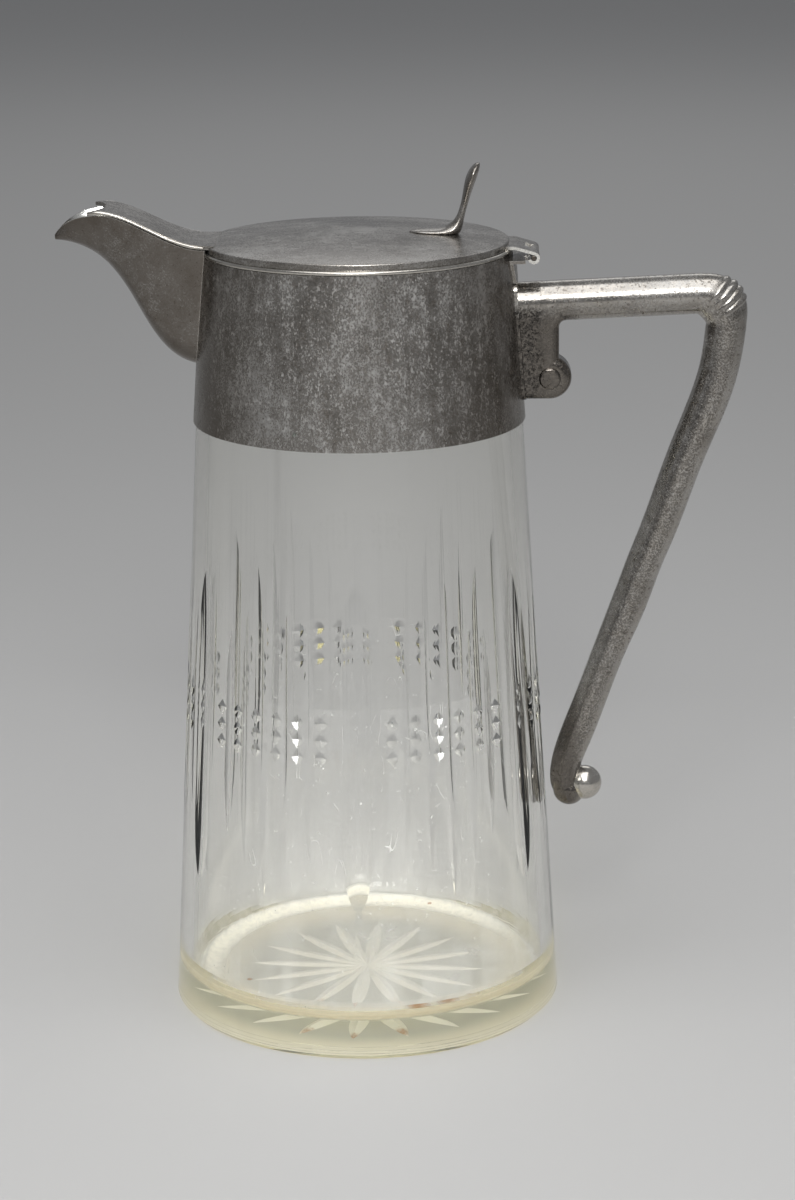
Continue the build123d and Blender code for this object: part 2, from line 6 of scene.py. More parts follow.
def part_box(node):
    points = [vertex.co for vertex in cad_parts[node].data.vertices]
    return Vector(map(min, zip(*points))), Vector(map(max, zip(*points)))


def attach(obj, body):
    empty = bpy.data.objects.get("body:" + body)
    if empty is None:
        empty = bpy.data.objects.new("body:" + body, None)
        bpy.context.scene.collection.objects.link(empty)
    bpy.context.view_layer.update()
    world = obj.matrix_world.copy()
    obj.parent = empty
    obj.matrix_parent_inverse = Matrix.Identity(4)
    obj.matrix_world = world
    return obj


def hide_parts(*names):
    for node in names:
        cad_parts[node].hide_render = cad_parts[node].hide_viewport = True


# A cut-glass claret jug with a worn silver-plated collar, spout, handle and hinged lid.
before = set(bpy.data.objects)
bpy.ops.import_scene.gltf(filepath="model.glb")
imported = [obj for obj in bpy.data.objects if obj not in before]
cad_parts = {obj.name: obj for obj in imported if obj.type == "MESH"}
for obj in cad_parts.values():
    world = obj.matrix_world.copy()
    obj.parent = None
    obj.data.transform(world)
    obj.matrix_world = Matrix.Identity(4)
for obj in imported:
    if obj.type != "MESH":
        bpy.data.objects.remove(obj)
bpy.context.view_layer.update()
bpy.ops.object.select_all(action="DESELECT")

# ------------------------------------------------------------------------- camera
# A long lens stands a little above the rim, square to the line from spout to handle, and
# looks down on the jug. A millimetre is MM metres here and in every size below.
MM = 0.001
camera_place = Vector((41.7, -967.7, 403.1)) * MM
camera_turn = radians(1.8)
camera_dip = radians(15.683)
camera_roll = radians(-0.666)
bpy.ops.object.camera_add()
camera = bpy.context.object
camera.data.sensor_width = 36
camera.data.lens = 94.5
camera.matrix_world = (
    Matrix.Translation(camera_place)
    @ Matrix.Rotation(camera_turn, 4, "Z")
    @ Matrix.Rotation(pi / 2 - camera_dip, 4, "X")
    @ Matrix.Rotation(camera_roll, 4, "Z")
)
bpy.context.scene.camera = camera

# ------------------------------------------------------------------------- floor and light
# The jug stands on a pale studio floor in a grey room. A large soft lamp hangs overhead, a
# small one stands in front of the jug, and one behind it lights the floor and the rims.
floor_size = 14.0
floor_drop = 0.1 * MM
floor_colour = (0.56, 0.555, 0.545, 1)
room_colour = (0.22, 0.225, 0.235, 1)


def feed(tree, inputs, values):
    """Sets each input, by name or number, to a number or colour, or links it to a socket."""
    for name, value in values.items():
        if isinstance(value, bpy.types.NodeSocket):
            tree.links.new(value, inputs[name])
        else:
            inputs[name].default_value = value


def feed_shader(finish, values):
    """Sets or links inputs of a finish's shader."""
    tree = finish.node_tree
    feed(tree, tree.nodes["Principled BSDF"].inputs, values)


def new_finish(name, values):
    """Finish with some of its shader's inputs set."""
    finish = bpy.data.materials.new(name)
    finish.use_nodes = True
    feed_shader(finish, values)
    return finish


def lay_finish(piece, *finishes):
    """Gives a piece its finishes in place of those that it has."""
    piece.data.materials.clear()
    for finish in finishes:
        piece.data.materials.append(finish)


bpy.ops.mesh.primitive_plane_add(size=floor_size, location=(0, 0, -floor_drop))
floor = bpy.context.object
floor.name = "floor"
bpy.ops.object.transform_apply(location=True)
lay_finish(floor, new_finish("floor_finish", {"Base Color": floor_colour, "Roughness": 0.8}))

world = bpy.data.worlds.new("room")
bpy.context.scene.world = world
world.use_nodes = True
world.node_tree.nodes["Background"].inputs["Color"].default_value = room_colour
bpy.context.scene.view_settings.view_transform = "Standard"


def soft_lamp(name, place, aim, width, height, power):
    """Rectangular lamp that faces a point."""
    bpy.ops.object.light_add(type="AREA", location=place)
    lamp = bpy.context.object
    lamp.name = name
    lamp.data.shape = "RECTANGLE"
    lamp.data.size = width
    lamp.data.size_y = height
    lamp.data.energy = power
    lamp.rotation_euler = (Vector(aim) - Vector(place)).to_track_quat("-Z", "Y").to_euler()


# Each lamp's place, the point that it faces, its width, its height and its power in watts.
soft_lamp("overhead_lamp", (0, -0.75, 1.25), (0, -0.75, 0), 1.0, 1.7, 13)
soft_lamp("front_lamp", (0.05, -1.25, 0.95), (0, 0, 0.15), 0.45, 0.35, 9)
soft_lamp("back_lamp", (0.1, 2.0, 1.5), (0, 1.0, 0), 1.4, 0.9, 4.5)

# ------------------------------------------------------------------------- glass body
# Mould-blown clear glass with a straight taper and a thick floor, cut on the wheel with
# hollow flutes, fans of pointed lancets, rows of small diamonds and a star underneath.
glass_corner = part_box("glass_body")[1]
glass_sides = 288
base_radius = glass_corner.x
heel_bevel = 1.4 * MM
heel_lines = (1.9 * MM, 2.8 * MM, 4.1 * MM)
line_depth = 0.16 * MM
wall_at_base = 5.0 * MM
wall_rings = 2
floor_height = 9.5 * MM
floor_corner = 8.0 * MM
corner_steps = 8
shoulder_height = 191.3 * MM
shoulder_radius = 51.3 * MM
neck_height = 193.3 * MM
neck_radius = 50.15 * MM
lip_height = glass_corner.z
lip_radius = 49.2 * MM
lip_wall = 3.0 * MM
lip_round = 1.0 * MM
lip_steps = 3

wall_rise = shoulder_height - heel_bevel
wall_lean = atan2(base_radius - shoulder_radius, wall_rise)


def wall_radius(height):
    """Outer radius of the glass wall at a height."""
    return base_radius + (height - heel_bevel) / wall_rise * (shoulder_radius - base_radius)


def quarter_turn(steps):
    """Angles of a quarter round, without the one that it starts from."""
    return [radians(90 * step / steps) for step in range(1, steps + 1)]


def turned_outline():
    """Radii and heights of the glass from the foot, up the outside and down the inside."""
    outline = [(base_radius - heel_bevel, 0), (wall_radius(heel_bevel), heel_bevel)]
    for height in heel_lines:
        for step, depth in ((-1, 0), (0, line_depth), (1, 0)):
            place = height + step * line_depth
            outline.append((wall_radius(place) - depth, place))
    for ring in range(1, wall_rings + 1):
        height = heel_bevel + wall_rise * ring / wall_rings
        outline.append((wall_radius(height), height))
    outline.append((neck_radius, neck_height))

    inner_lip = lip_radius - lip_wall
    outline.append((lip_radius, lip_height - lip_round))
    for turn in quarter_turn(lip_steps):
        inward, down = lip_round * (1 - cos(turn)), lip_round * (1 - sin(turn))
        outline.append((lip_radius - inward, lip_height - down))
    outline.append((inner_lip + lip_round, lip_height))
    for turn in quarter_turn(lip_steps):
        outward, down = lip_round * (1 - sin(turn)), lip_round * (1 - cos(turn))
        outline.append((inner_lip + outward, lip_height - down))

    floor_radius = base_radius - wall_at_base
    corner_top = floor_height + floor_corner
    for ring in range(1, wall_rings + 1):
        share = ring / wall_rings
        height = lip_height - lip_round + share * (corner_top - lip_height + lip_round)
        spread = (lip_height - height) / (lip_height - floor_height)
        outline.append((inner_lip + spread * (floor_radius - inner_lip), height))
    corner_radius = outline[-1][0]
    for turn in quarter_turn(corner_steps):
        inward, down = floor_corner * (1 - cos(turn)), floor_corner * sin(turn)
        outline.append((corner_radius - inward, corner_top - down))
    return outline


def turn_shape(name, outline, around, closed=True):
    """Body of revolution: a ring is drawn up step by step and capped at its ends."""
    radius, height = outline[0]
    bpy.ops.mesh.primitive_circle_add(vertices=around, radius=radius, location=(0, 0, height))
    piece = bpy.context.object
    piece.name = name
    bpy.ops.object.transform_apply(location=True)
    bpy.ops.object.mode_set(mode="EDIT")
    bpy.ops.mesh.select_all(action="SELECT")
    bpy.ops.mesh.edge_face_add()
    bpy.ops.mesh.select_mode(type="EDGE")
    for (last_radius, last_height), (radius, height) in zip(outline, outline[1:]):
        lift = {"value": (0, 0, height - last_height)}
        bpy.ops.mesh.extrude_edges_move(TRANSFORM_OT_translate=lift)
        scale = radius / last_radius
        bpy.ops.transform.resize(value=(scale, scale, 1), center_override=(0, 0, height))
    if closed:
        bpy.ops.mesh.edge_face_add()
    bpy.ops.mesh.select_all(action="SELECT")
    bpy.ops.mesh.normals_make_consistent(inside=not closed)
    bpy.ops.mesh.select_all(action="DESELECT")
    bpy.ops.object.mode_set(mode="OBJECT")
    return piece


glass_body = turn_shape("cut_glass_body", turned_outline(), glass_sides)

# The cuts repeat round the glass: one flute, and one fan of lancets with its diamonds, to
# each turn. Heights are in millimetres, each lancet's as its foot and tip.
flute_count = 6
flute_width = 10.2 * MM
flute_hollow = 18.0 * MM
flute_low, flute_high = 48 * MM, 149 * MM
flute_fade = 25.0 * MM
lancet_width = 5.0 * MM
lancet_depth = 0.8 * MM
lancet_step = 7.5
lancet_heights = ((48, 152), (59, 141), (67, 133))
diamond_width = 4.9 * MM
diamond_height = 5.1 * MM
diamond_depth = 1.05 * MM
diamond_rows = (96.6, 102.0, 107.4)
diamond_columns = 6
star_rays = 16
star_radius = 39.0 * MM
star_turn = -3.9
ray_width = 4.6 * MM
ray_depth = 1.2 * MM
# A leaf-shaped cut is the end of a four-sided ball, whose middle stands this many depths
# above the glass. A cutter reaches past the glass by the overrun.
stand_off = 3
leaf_rings = 72
hollow_rings = 144
overrun = 0.08 * MM


def on_wall(height, turn):
    """Place on the wall: X points out of the glass and Z up the wall."""
    return (
        Matrix.Rotation(radians(turn - 90), 4, "Z")
        @ Matrix.Translation((wall_radius(height), 0, height))
        @ Matrix.Rotation(-wall_lean, 4, "Y")
    )


def trim_cutter(cutter, height):
    """Keeps the part of a cutter that works, up to a height above the glass."""
    bpy.ops.object.mode_set(mode="EDIT")
    bpy.ops.mesh.select_all(action="SELECT")
    bpy.ops.mesh.bisect(
        plane_co=(height, 0, 0), plane_no=(1, 0, 0), use_fill=True, clear_outer=True
    )
    bpy.ops.object.mode_set(mode="OBJECT")
    return cutter


def leaf_cutter(length, width, depth):
    """Four-sided ball, drawn out so that it cuts a pointed leaf of a length, width and depth."""
    half_run = length / 2 / sqrt(1 - (stand_off / (1 + stand_off)) ** 2)
    bpy.ops.mesh.primitive_uv_sphere_add(segments=4, ring_count=leaf_rings, radius=1)
    cutter = bpy.context.object
    cutter.data.transform(
        Matrix.Translation((depth * stand_off, 0, 0))
        @ Matrix.Diagonal((depth * (1 + stand_off), width / 2 * (1 + stand_off), half_run, 1))
    )
    return trim_cutter(cutter, 2 * overrun)


def hollow_cutter(middle, length, width, hollow, fade):
    """Long round cutter for a height, whose ends lift out of the glass over a fading length."""
    depth = width**2 / 8 * (1 / hollow + 1 / wall_radius(middle))
    cap = fade / sqrt(1 - (1 - depth / hollow) ** 2)
    bpy.ops.mesh.primitive_uv_sphere_add(
        segments=hollow_rings, ring_count=hollow_rings + 1, radius=1
    )
    cutter = bpy.context.object
    cutter.data.transform(
        Matrix.Translation((hollow - depth, 0, 0)) @ Matrix.Diagonal((hollow, hollow, cap, 1))
    )
    run = length / 2 - fade
    for vertex in cutter.data.vertices:
        vertex.co.z += run if vertex.co.z > 0 else -run
    return trim_cutter(cutter, depth)


def diamond_cutter(width, height, depth):
    """Four-sided pyramid that points into the glass."""
    grow = 1 + overrun / depth
    bpy.ops.mesh.primitive_cone_add(vertices=4, radius1=1, radius2=0, depth=1)
    cutter = bpy.context.object
    cutter.data.transform(
        Matrix.Translation(((overrun - depth) / 2, 0, 0))
        @ Matrix.Diagonal((depth + overrun, width / 2 * grow, height / 2 * grow, 1))
        @ Matrix.Rotation(-pi / 2, 4, "Y")
    )
    return cutter


def select_only(piece):
    """Takes one piece in hand and lets go of the others."""
    bpy.ops.object.select_all(action="DESELECT")
    bpy.context.view_layer.objects.active = piece
    piece.select_set(True)


def cut_at(piece, cutter, rounds):
    """Cuts a piece in rounds; the places of one round stand clear of each other."""
    for places in rounds:
        bpy.ops.object.select_all(action="DESELECT")
        for place in places:
            copy = cutter.copy()
            copy.data = cutter.data.copy()
            copy.matrix_world = place
            bpy.context.collection.objects.link(copy)
            copy.select_set(True)
            bpy.context.view_layer.objects.active = copy
        if len(places) > 1:
            bpy.ops.object.join()
        wheel = bpy.context.object
        cut = piece.modifiers.new("cut", "BOOLEAN")
        cut.operation = "DIFFERENCE"
        cut.solver = "MANIFOLD"
        cut.object = wheel
        select_only(piece)
        bpy.ops.object.modifier_apply(modifier="cut")
        bpy.data.objects.remove(wheel)
    bpy.data.objects.remove(cutter)


turns = [360 / flute_count * number for number in range(flute_count)]
fan_middle = 180 / flute_count
rise = 1 / cos(wall_lean)

flute_middle = (flute_low + flute_high) / 2
flute_run = (flute_high - flute_low) * rise
flute = hollow_cutter(flute_middle, flute_run, flute_width, flute_hollow, flute_fade)
cut_at(glass_body, flute, [[on_wall(flute_middle, turn) for turn in turns]])

for number, (foot, tip) in enumerate(lancet_heights):
    lancet = leaf_cutter((tip - foot) * MM * rise, lancet_width, lancet_depth)
    middle = (foot + tip) / 2 * MM
    steps = sorted({-number * lancet_step, number * lancet_step})
    places = [on_wall(middle, turn + fan_middle + step) for turn in turns for step in steps]
    cut_at(glass_body, lancet, [places])

diamond = diamond_cutter(diamond_width, diamond_height, diamond_depth)
columns = [
    fan_middle + lancet_step * (number - (diamond_columns - 1) / 2)
    for number in range(diamond_columns)
]
rows = [
    [on_wall(row * MM, turn + column) for turn in turns for column in columns]
    for row in diamond_rows
]
cut_at(glass_body, diamond, rows)

ray = leaf_cutter(star_radius, ray_width, ray_depth)
underneath = Matrix.Translation((star_radius / 2, 0, 0)) @ Matrix.Rotation(pi / 2, 4, "Y")
ray_turns = [360 / star_rays * number - 90 + star_turn for number in range(star_rays)]
cut_at(
    glass_body,
    ray,
    [[Matrix.Rotation(radians(turn), 4, "Z") @ underneath] for turn in ray_turns],
)
bpy.ops.object.shade_smooth_by_angle(angle=radians(5))

# The glass is very faintly straw-coloured in its thickness. The star's rays are left grey
# by the wheel, and the foot is dull and creamy where it has worn on tables. Inside that worn
# ring the foot is painted grey as painted shade, for the shadowed floor seen through clear
# glass.
glass_tint = (0.99, 0.955, 0.5, 1)
tint_strength = 8
ray_grey = (0.72, 0.71, 0.68, 1)
ray_wine = (0.30, 0.14, 0.05, 1)
foot_shade_grey = (0.36, 0.36, 0.34, 1)
foot_cream = (0.62, 0.59, 0.50, 1)
foot_ring = (34, 49)
# Wine has dried brown in the front rays. A spot is its middle, its radius and how ragged
# its edge is, in millimetres.
ray_stains = (
    ((-13, -33, 1), 9, 6),
    ((9, -33, 1), 9, 6),
    ((-2, -37, 1), 8, 6),
    ((24, -36, 1), 7, 6),
    ((-22, -38, 1), 5, 6),
)


def add_node(tree, kind, values, **settings):
    """Adds a shader node, sets it up, feeds its inputs and gives its outputs."""
    node = tree.nodes.new("ShaderNode" + kind)
    for name, value in settings.items():
        setattr(node, name, value)
    feed(tree, node.inputs, values)
    return node.outputs


def millimetres(tree, offset=(0, 0, 0), stretch=(1, 1, 1), turn=0):
    """Place on the piece in millimetres, stretched, turned about Y by degrees and moved."""
    mapping = {
        "Vector": add_node(tree, "TexCoord", {})["Object"],
        "Location": offset,
        "Rotation": (0, radians(turn), 0),
        "Scale": [1000 * share for share in stretch],
    }
    return add_node(tree, "Mapping", mapping)["Vector"]


def maths(tree, operation, *values):
    """Math node on sockets or numbers."""
    return add_node(tree, "Math", dict(enumerate(values)), operation=operation)["Value"]


def vector_maths(tree, operation, *values):
    """Outputs Value and Vector of a vector math node on sockets or vectors."""
    return add_node(tree, "VectorMath", dict(enumerate(values)), operation=operation)


def times(tree, value, *others):
    """Product of sockets or numbers."""
    for other in others:
        value = maths(tree, "MULTIPLY", value, other)
    return value


def most(tree, values):
    """The largest of several values."""
    largest, *others = values
    for value in others:
        largest = maths(tree, "MAXIMUM", largest, value)
    return largest


def band(tree, value, low, high, to_low=0.0, to_high=1.0):
    """Smooth step of a value between low and high."""
    values = {
        "Value": value,
        "From Min": low,
        "From Max": high,
        "To Min": to_low,
        "To Max": to_high,
    }
    return add_node(tree, "MapRange", values, interpolation_type="SMOOTHSTEP")["Result"]


def noise(tree, place, scale, detail=4, roughness=0.6):
    """Grey value of a noise texture."""
    values = {"Vector": place, "Scale": scale, "Detail": detail, "Roughness": roughness}
    return add_node(tree, "TexNoise", values)["Fac"]


def blend(tree, share, first, second, way="MIX"):
    """Colour mixed from two, each a socket or a colour."""
    node = tree.nodes.new("ShaderNodeMix")
    node.data_type = "RGBA"
    node.blend_type = way
    feed(tree, node.inputs, {"Factor": share})
    colours = [socket for socket in node.inputs if socket.type == "RGBA"]
    feed(tree, colours, {0: first, 1: second})
    return next(socket for socket in node.outputs if socket.type == "RGBA")


def new_group(name, inputs, outputs):
    """Shader node group, given the kind of each input and output by name."""
    group = bpy.data.node_groups.new(name, "ShaderNodeTree")
    for side, sockets in (("INPUT", inputs), ("OUTPUT", outputs)):
        for socket, kind in sockets.items():
            group.interface.new_socket(socket, in_out=side, socket_type="NodeSocket" + kind)
    given = group.nodes.new("NodeGroupInput")
    result = group.nodes.new("NodeGroupOutput")
    return group, given.outputs, result.inputs


def spot_mark_group():
    """Mask of a ragged round mark: 1 inside, fading to 0 at the radius."""
    group, given, result = new_group(
        "spot_mark",
        {"Place": "Vector", "Centre": "Vector", "Radius": "Float", "Ragged": "Float"},
        {"Mask": "Float"},
    )
    away = vector_maths(group, "DISTANCE", given["Place"], given["Centre"])["Value"]
    grain = noise(group, given["Place"], 1.1, 5, 0.5)
    away = maths(group, "MULTIPLY_ADD", grain, given["Ragged"], away)
    core = times(group, given["Radius"], 0.4)
    feed(group, result, {"Mask": band(group, away, core, given["Radius"], 1, 0)})
    return group


spot_mark = spot_mark_group()


def spot(tree, place, centre, radius, ragged):
    """Ragged round mark, given its middle, radius and raggedness."""
    values = {"Place": place, "Centre": centre, "Radius": radius, "Ragged": ragged}
    return add_node(tree, "Group", values, node_tree=spot_mark)["Mask"]


def glass_finish(name, colour, roughness, clearness):
    """Glass with a tint in its thickness, which lets light through to what stands behind."""
    finish = new_finish(
        name,
        {
            "Base Color": colour,
            "Roughness": roughness,
            "IOR": 1.52,
            "Transmission Weight": clearness,
        },
    )
    tree = finish.node_tree
    either = {
        0: add_node(tree, "LightPath", {})["Is Shadow Ray"],
        1: tree.nodes["Principled BSDF"].outputs["BSDF"],
        2: add_node(tree, "BsdfTransparent", {})["BSDF"],
    }
    surface = add_node(tree, "MixShader", either)["Shader"]
    tint = {"Color": glass_tint, "Density": tint_strength}
    volume = add_node(tree, "VolumeAbsorption", tint)["Volume"]
    feed(tree, tree.nodes["Material Output"].inputs, {"Surface": surface, "Volume": volume})
    return finish


clear_glass = glass_finish("clear_glass", (1, 1, 1, 1), 0.0, 1.0)
ground_glass = glass_finish("ground_glass", ray_grey, 0.4, 0.2)
foot_glass = glass_finish("worn_foot_and_shade", foot_cream, 0.5, 0.25)

tree = ground_glass.node_tree
stained = most(tree, [spot(tree, millimetres(tree), *stain) for stain in ray_stains])
feed_shader(ground_glass, {"Base Color": blend(tree, stained, ray_grey, ray_wine)})

tree = foot_glass.node_tree
# Painted shade: inside the worn ring the foot is painted grey.
worn_ring = band(tree, vector_maths(tree, "LENGTH", millimetres(tree))["Value"], *foot_ring)
feed_shader(foot_glass, {"Base Color": blend(tree, worn_ring, foot_shade_grey, foot_cream)})

lay_finish(glass_body, clear_glass, ground_glass, foot_glass)
flush = 0.01 * MM
for face in glass_body.data.polygons:
    middle = face.center
    if middle.z < ray_depth and hypot(middle.x, middle.y) < base_radius - heel_bevel:
        face.material_index = 2 if middle.z < flush else 1
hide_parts("glass_body")
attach(glass_body, "jug")

# ------------------------------------------------------------------------- bloom in the glass
# Wine and hard water have left a thin pale bloom on the lower half of the glass's inside,
# thickest round the edge of the floor, with brown wine stains, dust specks and fine scratches.
bloom_sides = 192
bloom_gap = 0.06 * MM
bloom_grey = (0.86, 0.86, 0.85, 1)
bloom_cream = (0.86, 0.83, 0.72, 1)
floor_wine = (0.30, 0.13, 0.03, 1)
# Each layer fades between two heights or radii in millimetres, and has its own strength.
floor_layer, wall_layer, ring_layer = (9.7, 12), (12, 60), (10.2, 12)
ring_edge, ring_back = (43, 51), (-35, 40)
ring_share, speck_share, scratch_share, stain_share = 0.92, 0.9, 0.6, 0.8


def bloom_outline():
    """The inside of the glass from its floor's middle to half-way up, just off the surface."""
    inside = turned_outline()[-(wall_rings + corner_steps):]
    return [(radius - bloom_gap, height + bloom_gap) for radius, height in reversed(inside)]


def axes(tree, vector):
    """Outputs X, Y and Z of a vector."""
    return add_node(tree, "SeparateXYZ", {"Vector": vector})


bloom = turn_shape("glass_bloom", bloom_outline(), bloom_sides, closed=False)
bloom_finish = new_finish("glass_bloom", {"Roughness": 0.6, "Specular IOR Level": 0.2})
tree = bloom_finish.node_tree
place = millimetres(tree)
x, y, height = axes(tree, place)
level_place = vector_maths(tree, "MULTIPLY", place, (1, 1, 0))["Vector"]
radius = vector_maths(tree, "LENGTH", level_place)["Value"]

# The dried ring in the floor's corner is mottled, and strongest at the back left.
mottle = noise(tree, place, 0.5, 6, 0.7)
ring = times(
    tree,
    band(tree, radius, *ring_edge),
    band(tree, height, *ring_layer, 1, 0),
    band(tree, maths(tree, "MULTIPLY_ADD", x, -0.45, y), *ring_back),
    band(tree, mottle, 0.25, 0.6, 0.7, 1),
)

# A haze has run down the wall in drips and lies on the floor in clouds.
drips = noise(tree, millimetres(tree, stretch=(1, 1, 0.06)), 0.16, 3)
clouds = noise(tree, place, 0.05)
wall_haze = times(
    tree,
    band(tree, height, *wall_layer, 0.16, 0.05),
    band(tree, drips, 0.35, 0.7, 0.3, 1.6),
)
floor_haze = times(
    tree,
    band(tree, height, *floor_layer, 1, 0),
    band(tree, clouds, 0.3, 0.7, 0.12, 0.28),
)

# Dust specks and nicks: some cells of a grid are filled near their middle, into long marks
# where the grid is stretched. Each row: scale, offset, stretch, turn, size in a cell.
specks = []
for scale, offset, stretch, turn, size in (
    (0.22, (0, 0, 0), (1, 1, 1), 0, 0.075),
    (0.40, (3, 1, 8), (1, 1, 1), 0, 0.09),
    (0.30, (1, 5, 2), (1, 0.3, 0.22), 32, 0.05),
    (0.30, (8, 2, 5), (1, 0.3, 0.22), -24, 0.05),
):
    grid = vector_maths(tree, "MULTIPLY", millimetres(tree, offset, turn=turn), stretch)
    cells = add_node(tree, "TexVoronoi", {"Vector": grid["Vector"], "Scale": scale})
    chosen = noise(tree, millimetres(tree, offset), 0.06, 3)
    specks.append(
        times(
            tree,
            band(tree, cells["Distance"], size / 2, size, 1, 0),
            band(tree, chosen, 0.44, 0.54),
        )
    )

# Scratches: thin lines where a stretched noise crosses its middle value, in some places.
lines = noise(tree, millimetres(tree, (40, 7, 3), (1, 1, 0.35)), 0.12, 1, 0.4)
beside = maths(tree, "ABSOLUTE", maths(tree, "SUBTRACT", lines, 0.5))
chosen = noise(tree, millimetres(tree, (9, 5, 60)), 0.09, 2)
scratches = times(
    tree,
    band(tree, beside, 0.0008, 0.0026, 1, 0),
    band(tree, chosen, 0.56, 0.62),
)

# Wine has stained the front of the floor, and has left two small drops apart from that.
floor_stains = (
    ((18, -47.5, 10), 8.0, 4.0),
    ((27, -43, 10), 8.0, 4.0),
    ((35, -37, 10), 6.5, 4.0),
    ((-37, -19, 9.8), 1.9, 0.8),
    ((20.5, 47.5, 9.8), 1.3, 0.6),
)
stained = most(tree, [spot(tree, place, *stain) for stain in floor_stains])

colour = blend(tree, ring, bloom_grey, bloom_cream)
thickness = most(
    tree,
    (
        wall_haze,
        floor_haze,
        times(tree, ring, ring_share),
        times(tree, most(tree, specks), speck_share),
        times(tree, scratches, scratch_share),
        times(tree, stained, stain_share),
    ),
)
feed_shader(
    bloom_finish, {"Base Color": blend(tree, stained, colour, floor_wine), "Alpha": thickness}
)
lay_finish(bloom, bloom_finish)
select_only(bloom)
bpy.ops.object.shade_smooth_by_angle(angle=radians(30))
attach(bloom, "jug")

# ------------------------------------------------------------------------- neck cement
# Plaster is poured in wet to bed the collar on the neck of the glass. It has set off-white
# and crumbly.
plaster_dark = (0.52, 0.47, 0.38, 1)
plaster_pale = (0.74, 0.71, 0.63, 1)
plaster = new_finish("plaster", {"Roughness": 0.9})
tree = plaster.node_tree
crumbs = noise(tree, millimetres(tree), 0.6, 6, 0.7)
feed_shader(plaster, {"Base Color": blend(tree, crumbs, plaster_dark, plaster_pale)})
lay_finish(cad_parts["neck_cement"], plaster)

# ------------------------------------------------------------------------- collar
# The collar is a tapered band of brass, silver-plated and set in the cement. It is worn now:
# clouded with pale bloom, tarnished and pitted. Its sides towards the spout and the handle are
# painted brown as painted shade. Verdigris and a rust spot sit on its front.
plate_bloom = (0.40, 0.395, 0.385, 1)
plate_tarnish = (0.075, 0.06, 0.045, 1)
edge_shine = (0.32, 0.31, 0.29, 1)
edge_width = 0.4 * MM
pit_depth = 0.05 * MM
warm_silver = (0.30, 0.275, 0.245, 1)
# Colour, reach in millimetres from the middle, and strength of the painted shade on the collar's
# sides.
side_shade_colour, side_shade_reach, side_shade_strength = (0.085, 0.068, 0.05, 1), (18, 47), 0.62
verdigris, verdigris_spot = (0.22, 0.30, 0.24, 1), ((-17.5, -48.8, 196.5), 2.6, 3.0)
rust, rust_spot = (0.05, 0.03, 0.015, 1), ((28.2, -42.6, 216.0), 0.9, 0.5)


def worn_plate_group():
    """Worn plate: clean metal, pale cloudy bloom, brown tarnish, dark pits, bright edges."""
    group, given, result = new_group(
        "tarnish",
        {
            "Place": "Vector",
            "Clean": "Color",
            "Bloom": "Color",
            "Tarnish": "Color",
            "Bloom Share": "Float",
            "Tarnish Share": "Float",
            "Pits": "Float",
            "Clean Roughness": "Float",
            "Edge": "Float",
        },
        {"Colour": "Color", "Metallic": "Float", "Roughness": "Float", "Height": "Float"},
    )

    def grain(scale, detail, roughness):
        return noise(group, given["Place"], scale, detail, roughness)

    def sum_of(value, share, other):
        return maths(group, "MULTIPLY_ADD", value, share, other)

    def less_half(value):
        return maths(group, "SUBTRACT", value, 0.5)

    # Fields of noise, coarse to fine, make the masks of what lies on the plate.
    patches = grain(0.05, 3, 0.55)
    clouds = grain(0.32, 5, 0.7)
    fine = grain(2.0, 4, 0.7)
    more_bloom = less_half(given["Bloom Share"])
    bloom_field = sum_of(clouds, 0.5, times(group, patches, 0.5))
    bloom_field = sum_of(less_half(fine), 0.9, bloom_field)
    bloomed = band(group, maths(group, "ADD", bloom_field, more_bloom), 0.22, 0.80)
    fleck_field = sum_of(less_half(clouds), 0.35, grain(1.25, 3, 0.6))
    flecked = band(group, maths(group, "ADD", fleck_field, more_bloom), 0.55, 0.66)
    brown_field = sum_of(grain(0.06, 4, 0.6), 0.75, times(group, clouds, 0.25))
    brown_field = maths(group, "ADD", brown_field, less_half(given["Tarnish Share"]))
    browned = times(group, band(group, brown_field, 0.36, 0.70), 0.55)
    pit_field = sum_of(grain(1.1, 5, 0.75), 0.75, times(group, clouds, 0.25))
    pitted = times(group, band(group, pit_field, 0.38, 0.47, 1, 0), given["Pits"])
    rubbed = times(group, given["Edge"], band(group, clouds, 0.3, 0.6, 0.5, 1))

    colour = blend(group, bloomed, given["Clean"], given["Bloom"])
    colour = blend(group, browned, colour, given["Tarnish"])
    colour = blend(group, times(group, flecked, 0.45), colour, given["Bloom"])
    colour = blend(group, times(group, pitted, 0.7), colour, given["Tarnish"])
    colour = blend(group, rubbed, colour, edge_shine, "ADD")
    metal = maths(group, "SUBTRACT", 1, times(group, bloomed, 0.4))
    metal = times(group, metal, sum_of(flecked, -0.5, 1))
    rough = sum_of(bloomed, 0.22, given["Clean Roughness"])
    rough = sum_of(flecked, 0.15, rough)
    rough = sum_of(pitted, 0.2, rough)
    rough = times(group, rough, sum_of(rubbed, -0.4, 1))
    height = sum_of(fine, 0.4, times(group, pitted, -1))
    feed(
        group,
        result,
        {"Colour": colour, "Metallic": metal, "Roughness": rough, "Height": height},
    )
    return group


worn_plate = worn_plate_group()


def edge_mask(tree):
    """1 on edges and corners, where handling keeps the plate bright."""
    rounded = add_node(tree, "Bevel", {"Radius": edge_width})["Normal"]
    flat = add_node(tree, "NewGeometry", {})["Normal"]
    agreement = vector_maths(tree, "DOT_PRODUCT", rounded, flat)["Value"]
    return band(tree, agreement, 0.86, 0.985, 1, 0)


